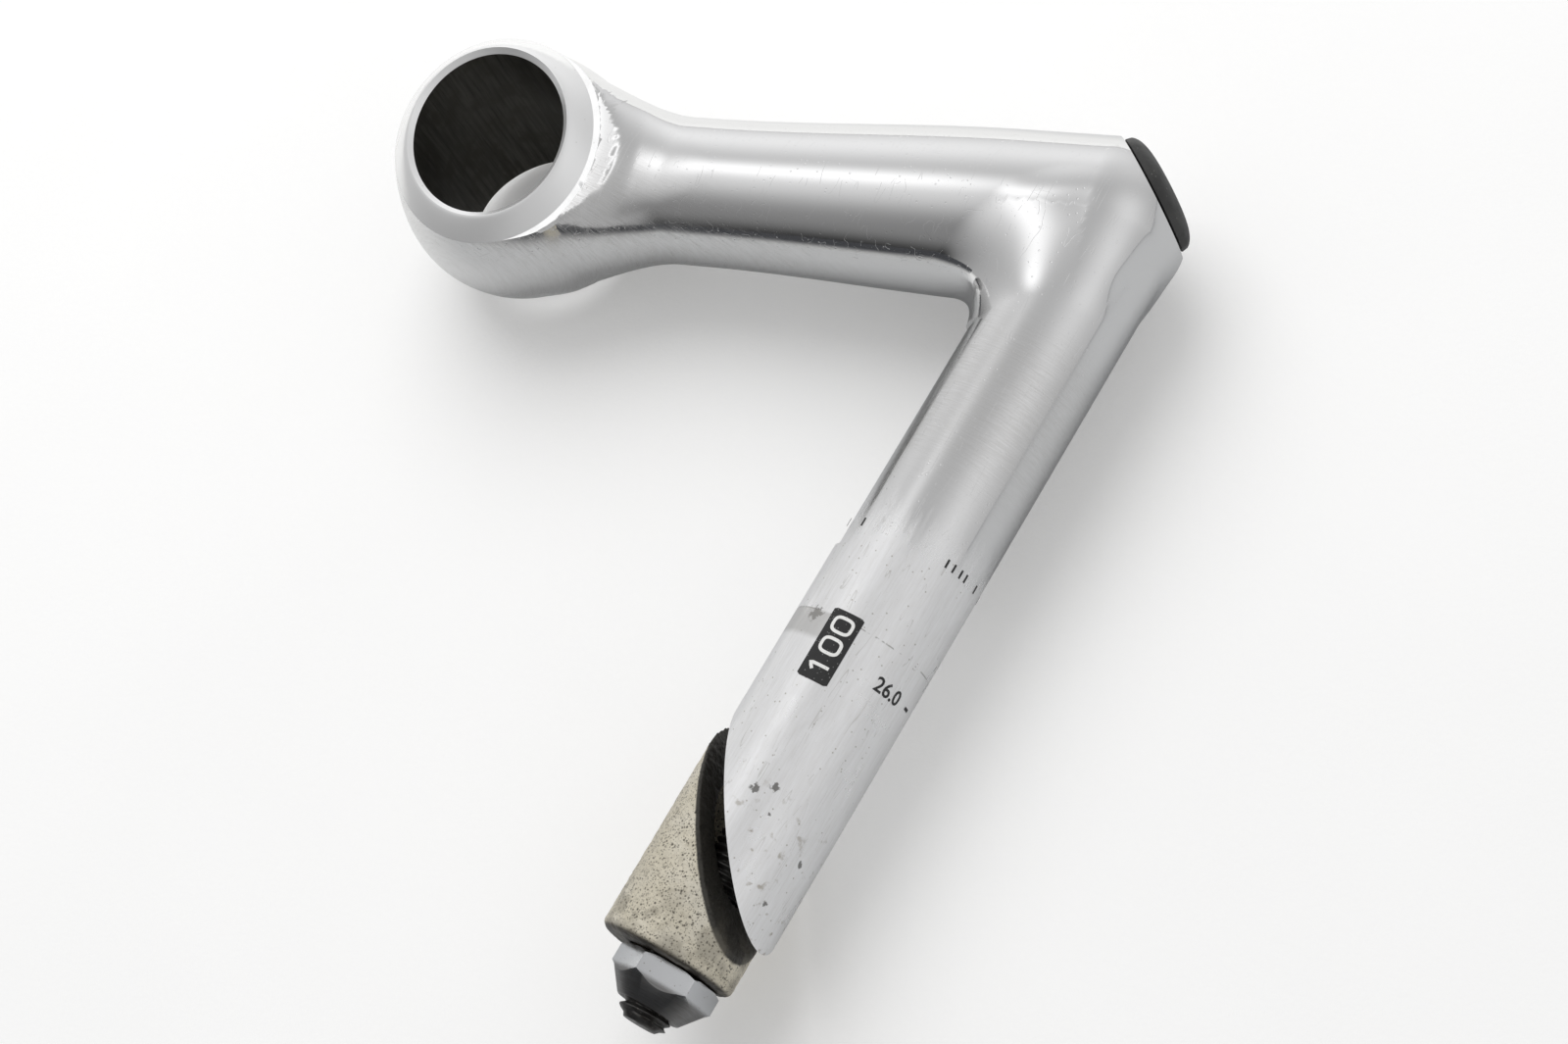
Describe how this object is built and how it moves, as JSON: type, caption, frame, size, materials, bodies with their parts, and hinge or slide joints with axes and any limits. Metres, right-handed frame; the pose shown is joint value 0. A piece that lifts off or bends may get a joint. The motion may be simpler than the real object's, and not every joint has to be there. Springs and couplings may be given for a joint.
{
  "type": "handlebar stem",
  "caption": "Polished alloy quill handlebar stem with hidden clamp screw, expander bolt, slanted wedge, hex nut and a rubber cap on its top corner.",
  "frame": {"origin": "centre of the bounding box at the surface the stem lies on", "axes": "+Y up the quill, -X the way the extension points, +Z along the handlebar's axis, up from the surface"},
  "size_m": [0.1266, 0.1524, 0.0353],
  "materials": {
    "polished_alloy": "polished extension and clamp, satin lower quill",
    "black_rubber": "smooth moulded rubber",
    "dark_steel": "blackened steel thread",
    "plated_steel": "bright plated steel",
    "cast_wedge": "rough cast, grey-beige, oily"
  },
  "bodies": {
    "stem": {"stem_body": "polished_alloy", "clamp_bush": "plated_steel", "expander_washer": "plated_steel"},
    "cap": {"top_cap": "black_rubber"},
    "bolt": {"expander_bolt": "dark_steel"},
    "nut": {"expander_nut": "plated_steel"},
    "wedge_body": {"wedge": "cast_wedge"},
    "plunger": {"clamp_plunger": "plated_steel"},
    "screw": {"clamp_screw": "dark_steel"}
  },
  "joints": [
    {"name": "cap_pull", "type": "slide", "parent": "stem", "child": "cap", "axis": [0.5948, 0.8039, 0], "range_m": [0, 0.02]},
    {"name": "expander_bolt_turn", "type": "hinge", "parent": "stem", "child": "bolt", "pos_m": [0.05168, 0.06346, 0.01763], "axis": [0, -1, 0], "range_deg": [-380, 560]},
    {"name": "nut_climb", "type": "slide", "parent": "stem", "child": "nut", "axis": [0, 1, 0], "range_m": [-0.00125, 0.00187]},
    {"name": "wedge_shift", "type": "slide", "parent": "nut", "child": "wedge_body", "axis": [-1, 0, 0], "range_m": [-0.0005, 0.0003]},
    {"name": "clamp_screw_turn", "type": "hinge", "parent": "plunger", "child": "screw", "pos_m": [0.05168, 0.06346, 0.01763], "axis": [-0.9563, -0.2924, 0], "range_deg": [-500, 160]},
    {"name": "plunger_press", "type": "slide", "parent": "stem", "child": "plunger", "axis": [-0.9563, -0.2924, 0], "range_m": [-0.002, 0.0006]}
  ],
  "couplings": [
    {"joint": "expander_bolt_turn", "follows": "nut_climb", "rad_per_m": 5026.5},
    {"joint": "clamp_screw_turn", "follows": "plunger_press", "rad_per_m": 4188.8}
  ]
}
